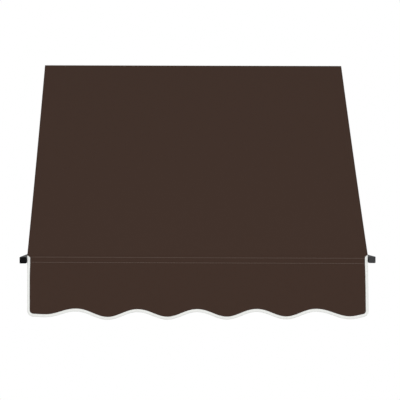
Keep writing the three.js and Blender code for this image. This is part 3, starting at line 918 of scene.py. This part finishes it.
def lobe_wave(x):
    """Height and slope of the lobes. The outer half of each end lobe is stretched to the last low."""
    crest = by_side(x, LAST_CRESTS)
    on_end = np.abs(x) > crest
    rate = np.where(on_end, np.sign(x) * np.pi / (LAST_LOW - crest), 2 * np.pi / SCALLOP_PITCH)
    turn = rate * (x - np.where(on_end, np.sign(x) * crest, LOBE_SHIFT))
    return SCALLOP_DEPTH / 2 * (1 + np.cos(turn)), -SCALLOP_DEPTH / 2 * rate * np.sin(turn)


def foot_edge(x):
    """Height and slope of the finished lower edge."""
    wave, wave_slope = lobe_wave(x)
    end_slope = np.tan(by_side(x, END_ANGLES))
    beyond = np.maximum(np.abs(x) - LAST_LOW, 0)
    bent = np.minimum(beyond, END_BEND)
    tail = end_slope * (beyond - bent + bent**2 / (2 * END_BEND))
    tail_slope = end_slope * bent / END_BEND * np.sign(x)
    outside = beyond > 0
    lift, lift_slope = left_lift(x)
    height = VALANCE_FOOT + lift + np.where(outside, tail, wave)
    return height, lift_slope + np.where(outside, tail_slope, wave_slope)


lowest = foot_edge(np.linspace(-LAST_LOW, LAST_LOW, 200))[0].min()
print(f"foot: lowest at v {lowest:.4f}")

# %% [markdown]
# ## The whole bound edge
# The binding runs down one side, round a rounded corner, along the foot and up the other side. The edge
# is therefore one line of points with the direction into the cloth at each of them.

# %% Join foot, corners and sides
EDGE_STEP = 0.003
CORNER_POINTS = 20


def corner_centre(side):
    above_foot = CORNER_RADIUS * math.cos(END_ANGLES[side])
    return np.array([side * CORNER_START, foot_edge(side * FOOT_ENDS[side])[0] + above_foot])


def edge_side(side):
    """One rounded corner and the straight edge above it, from the foot upwards, with inward normals."""
    centre = corner_centre(side)
    start = 270 + side * math.degrees(END_ANGLES[side])
    turn = arc(centre, CORNER_RADIUS, start, 270 + 90 * side, CORNER_POINTS)[1:]
    edge_z = np.linspace(centre[1], VALANCE_TOP, round((VALANCE_TOP - centre[1]) / EDGE_STEP))[1:]
    edge = np.stack([np.full_like(edge_z, side * HALF_WIDTH), edge_z], axis=-1)
    inward = np.tile([-float(side), 0.0], (len(edge_z), 1))
    return np.concatenate([turn, edge]), np.concatenate([(centre - turn) / CORNER_RADIUS, inward])


def valance_edge():
    """The finished edge from the top left round to the top right, with inward normals."""
    foot_x = np.linspace(-FOOT_ENDS[LEFT], FOOT_ENDS[RIGHT], round(sum(FOOT_ENDS.values()) / EDGE_STEP))
    foot_z, slope = foot_edge(foot_x)
    inward = np.stack([-slope, np.ones_like(slope)], axis=-1)
    inward /= np.linalg.norm(inward, axis=1)[:, None]
    left, left_in = edge_side(LEFT)
    right, right_in = edge_side(RIGHT)
    points = np.concatenate([left[::-1], np.stack([foot_x, foot_z], axis=-1), right])
    normals = np.concatenate([left_in[::-1], inward, right_in])
    return points, normals


edge_points, edge_in = valance_edge()
edge_length, _ = along(edge_points)
print(f"bound edge: {edge_length[-1]:.3f} m in {len(edge_points)} points")

# %% [markdown]
# ## Valance cloth
# The strip itself is a grid that runs from its straight top to the cut edge inside the binding's fold.
# Its columns crowd towards both sides, where the rounded corners need them.

# %% Weave the valance
CROWDING = 0.97
VALANCE_COLUMNS = 280
VALANCE_ROWS = 36
CUT_INSET = TAPE + GAP


def cloth_foot(x):
    """The cut edge of the cloth, hidden in the binding's fold."""
    radius = CORNER_RADIUS - CUT_INSET
    beyond = np.clip(np.abs(x) - CORNER_START, 0, radius)
    centre_z = by_side(x, {side: corner_centre(side)[1] for side in (LEFT, RIGHT)})
    corner = centre_z - np.sqrt(radius**2 - beyond**2)
    return np.where(np.abs(x) > by_side(x, FOOT_ENDS), corner, foot_edge(x)[0] + CUT_INSET)


spread = np.linspace(-1, 1, VALANCE_COLUMNS)
quarter = CROWDING * math.pi / 2
valance_x = (HALF_WIDTH - CUT_INSET) * np.sin(spread * quarter) / math.sin(quarter)
down = np.linspace(0, 1, VALANCE_ROWS)[:, None]
valance_z = VALANCE_TOP + (cloth_foot(valance_x)[None, :] - VALANCE_TOP) * down
valance_grid_x = np.broadcast_to(valance_x[None, :], valance_z.shape)
flat_valance = cloth_piece(
    "valance_cloth",
    flat_points(valance_grid_x, valance_z, CLOTH / 2),
    flat_points(valance_grid_x, valance_z, -CLOTH / 2),
    np.stack([valance_grid_x, valance_z], axis=-1),
    brown_cloth,
)
valance = hung(flat_valance)
print("valance:", len(valance.data.polygons), "faces")

# %% [markdown]
# ## Binding
# A pale woven tape is folded over the valance's sides and foot and sewn through near its inner edge. Its
# section runs from the back inner edge, over a rounded fold at the cloth's cut edge, to the front inner
# edge. The stitching pulls it in slightly, and the tape stands a little fuller between the stitching and
# the fold. On the two sides it is folded a little narrower than along the foot. A curve with a profile
# could carry one section along the edge, but it can't change the width alone, so the points are placed.

# %% Find the tape's section and width
STITCH_SHARE = 0.84
TAPE_SHARES = (1.0, 0.985, 0.93, STITCH_SHARE, 0.72, 0.6, 0.48, 0.36, 0.25, 0.15, 0.07, 0.02, 0.0)
TAPE_RISES = (0.75, 0.95, 1.0, 0.92, 1.12, 1.26, 1.28, 1.16, 0.97, 0.74, 0.50, 0.26, 0.0)
NARROWINGS = {LEFT: 0.0013, RIGHT: 0.0006}
NARROWING_FROM = 0.020
NARROWING_TO = 0.065


def tape_section(lift):
    """Shares of the width in from the fold, and distances from the cloth's middle, from back to front."""
    shares = np.array(TAPE_SHARES)
    rises = (CLOTH / 2 + GAP / 2 + lift) * np.array(TAPE_RISES)
    return np.concatenate([shares, shares[-2::-1]]), np.concatenate([-rises, rises[-2::-1]])


on_side = edge_in[:, 0] ** 4
below_top = smooth_step(VALANCE_TOP - edge_points[:, 1], NARROWING_FROM, NARROWING_TO)
narrowing = by_side(edge_points[:, 0], NARROWINGS)
tape_width = TAPE_WIDTH - narrowing * on_side * below_top
print(f"tape: {tape_width.min() * 1000:.1f} to {tape_width.max() * 1000:.1f} mm wide")

# %% [markdown]
# ## Folding the tape
# Each point of the edge gets the same section, set in the direction into the cloth. At the two top ends
# the tape is turned under, which rounds off its inner corner: a point there is lowered by the square of
# its distance in from the fold.

# %% Fold the tape over the edge
TURNED_UNDER = 0.006
TURNED_UNDER_REACH = 0.015


def tape_surface(lift):
    """One face of the tape, at a lift off the cloth."""
    shares, rises = tape_section(lift)
    nose = TAPE - lift
    inset = nose + shares * (tape_width[:, None] - nose)
    flat = edge_points[:, None, :] + edge_in[:, None, :] * inset[..., None]
    near_end = smooth_step(edge_points[:, None, 1], VALANCE_TOP - TURNED_UNDER_REACH, VALANCE_TOP)
    lowered = TURNED_UNDER * near_end * (inset / TAPE_WIDTH) ** 2
    return flat_points(flat[..., 0], flat[..., 1] - lowered, rises)


section_shares, section_rises = tape_section(TAPE)
across, _ = along(np.stack([TAPE_WIDTH * section_shares, section_rises], axis=-1))
flat_binding = cloth_piece(
    "binding_tape",
    tape_surface(TAPE),
    tape_surface(0.0),
    np.stack(np.broadcast_arrays(edge_length[:, None], across[None, :]), axis=-1),
    white_tape,
)
binding = hung(flat_binding)
print("binding:", len(binding.data.polygons), "faces")

# %% [markdown]
# ## Stitches
# A sewn row is the same short stitch again and again along a line. Copies placed one by one would do, but
# Geometry Nodes are made for this: the tree takes a guide line, sets points on it at the stitch pitch,
# puts a small rounded stitch on each and turns it along the line.

# %% Build the stitch tree


def stitch_tree():
    """Takes a line of edges and gives a stitch at every pitch along it."""
    sizes = {"Pitch": 0.0045, "Length": 0.0034, "Width": 0.0009}
    tree, identifiers, given, out = start_tree("stitch_row", sizes)
    size = given.outputs
    curve = add_node(tree, "GeometryNodeMeshToCurve", {"Mesh": size["Geometry"]})
    places = add_node(
        tree,
        "GeometryNodeCurveToPoints",
        {"Curve": curve.outputs[0], "Length": size["Pitch"]},
        mode="LENGTH",
    )
    ball = add_node(tree, "GeometryNodeMeshUVSphere", {"Segments": 6, "Rings": 5, "Radius": 0.5})
    rounded = add_node(tree, "GeometryNodeSetShadeSmooth", {0: ball.outputs["Mesh"]})
    stretch = add_node(
        tree, "ShaderNodeCombineXYZ", {"X": size["Width"], "Y": size["Width"], "Z": size["Length"]}
    )
    placed = add_node(
        tree,
        "GeometryNodeInstanceOnPoints",
        {
            "Points": places.outputs["Points"],
            "Instance": rounded.outputs[0],
            "Rotation": places.outputs["Rotation"],
            "Scale": stretch.outputs[0],
        },
    )
    end_tree(tree, given, out, placed.outputs[0])
    return tree, identifiers


STITCHING = stitch_tree()

# %% [markdown]
# ## Sewing rows
# A guide is a mesh of edges only. One mesh may hold several rows, so the stitches of a seam are one piece.
# A row on the valance is hung first, as the cloth is, and the stitches are set on it afterwards.

# %% Sew along guide lines


def sew(name, lines, thread, on_valance=False, **sizes):
    """Stitches along guide lines, each an array of points, as one plain mesh."""
    points = np.concatenate(lines)
    ends = np.cumsum([len(line) for line in lines])
    edges = [(i, i + 1) for i in range(len(points) - 1) if i + 1 not in ends]
    mesh = bpy.data.meshes.new(name)
    mesh.from_pydata(points.tolist(), edges, [])
    piece = link_piece(name, mesh)
    if on_valance:
        add_tree(piece, *HANGING, thread, {})
    add_tree(piece, *STITCHING, thread, sizes)
    return applied(piece)


print("ready to sew")

# %% [markdown]
# ## Seams
# Two rows go through valance and canopy, one above and one below the bar. In the photograph they fall a
# few millimetres towards the right. On the back only the lower row can be seen, close to the cut end of
# the pocket. The thread lies a little sunk in the cloth.

# %% Sew the seams
THREAD_SINK = 0.0001
SEAM_DROP = 0.0012
SEAM_FALL = 0.005


def seam_row(z, out, fall=0.0):
    """A row across the cloth. fall is how much it drops per metre towards the right."""
    row_x = np.linspace(-POCKET_HALF, POCKET_HALF, 120)
    return np.stack([row_x, np.full_like(row_x, -out), z - fall * row_x], axis=-1)


front_face = VALANCE_OUT + CLOTH / 2 + THREAD_SINK
back_face = VALANCE_OUT - CLOTH - GAP - CLOTH / 2 - THREAD_SINK
lower_back = BAR[1] - SEAM_SPACING / 2 - SEAM_ALLOWANCE / 2
seam_stitches = sew(
    "seam_stitches",
    [
        seam_row(BAR[1] + SEAM_SPACING / 2 - SEAM_DROP, front_face, SEAM_FALL),
        seam_row(BAR[1] - SEAM_SPACING / 2 - SEAM_DROP, front_face, SEAM_FALL),
        seam_row(lower_back, back_face),
    ],
    brown_thread,
    Width=0.0014,
)
print("seams:", len(seam_stitches.data.polygons), "faces")

# %% [markdown]
# ## Stitching on the binding
# One fine row follows the tape all round near its inner edge, and it shows on both faces. It stops short
# of the tape's turned-under ends.

# %% Sew the binding
END_POINTS_LEFT_OUT = 4


def tape_row(face):
    """face is 1 for the front and -1 for the back."""
    sewn = slice(END_POINTS_LEFT_OUT, -END_POINTS_LEFT_OUT)
    flat = edge_points[sewn] + edge_in[sewn] * STITCH_SHARE * tape_width[sewn, None]
    lift = (CLOTH / 2 + GAP / 2 + TAPE) * TAPE_RISES[TAPE_SHARES.index(STITCH_SHARE)] + THREAD_SINK
    return flat_points(flat[:, 0], flat[:, 1], face * lift)


tape_rows = [tape_row(1), tape_row(-1)]
binding_stitches = sew("binding_stitches", tape_rows, white_thread, on_valance=True, Width=0.0008)
print("binding row:", len(binding_stitches.data.polygons), "faces")

# %% [markdown]
# ## Stitching on the hems
# Each side hem is held by one row close to the turned-under edge. The row follows the sag on the upper
# face and the doubled cloth on the lower face.

# %% Sew the hems
HEM_ROW_INSET = 0.003


def hem_row(side, outer):
    slope_rows = slice(slope_first + 2, slope_last - 1)
    row_distance = canopy_length[slope_rows]
    row_x = np.full_like(row_distance, side * (HALF_WIDTH - HEM_WIDTH + HEM_ROW_INSET))
    rise = CLOTH / 2 + THREAD_SINK if outer else -1.5 * CLOTH - THREAD_SINK
    lift = rise - sag_at(row_x, row_distance)
    return out_and_up(row_x, canopy_side[slope_rows] + canopy_normal[slope_rows] * lift[:, None])


hem_lines = [hem_row(side, outer) for side in (LEFT, RIGHT) for outer in (True, False)]
hem_stitches = sew("hem_stitches", hem_lines, hem_thread, Width=0.0007)
print("hems:", len(hem_stitches.data.polygons), "faces")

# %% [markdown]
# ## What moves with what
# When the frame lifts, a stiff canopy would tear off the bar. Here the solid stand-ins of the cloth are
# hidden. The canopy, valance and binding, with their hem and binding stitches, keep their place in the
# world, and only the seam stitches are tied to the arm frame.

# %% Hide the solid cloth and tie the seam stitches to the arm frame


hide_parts("canopy_panel")
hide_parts("valance")
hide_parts("valance_binding")
for piece in (canopy, hem_stitches):
    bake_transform(piece)
for piece in (valance, binding, binding_stitches):
    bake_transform(piece)
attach(seam_stitches, "arm_frame")

# %% [markdown]
# ## Sheets
# Both cloths are thin sheets with the size of their flat cut. The canopy's cut is wider than the slope by
# its two hems. The valance's cut ends inside the binding.

print("cloths: canopy and valance")
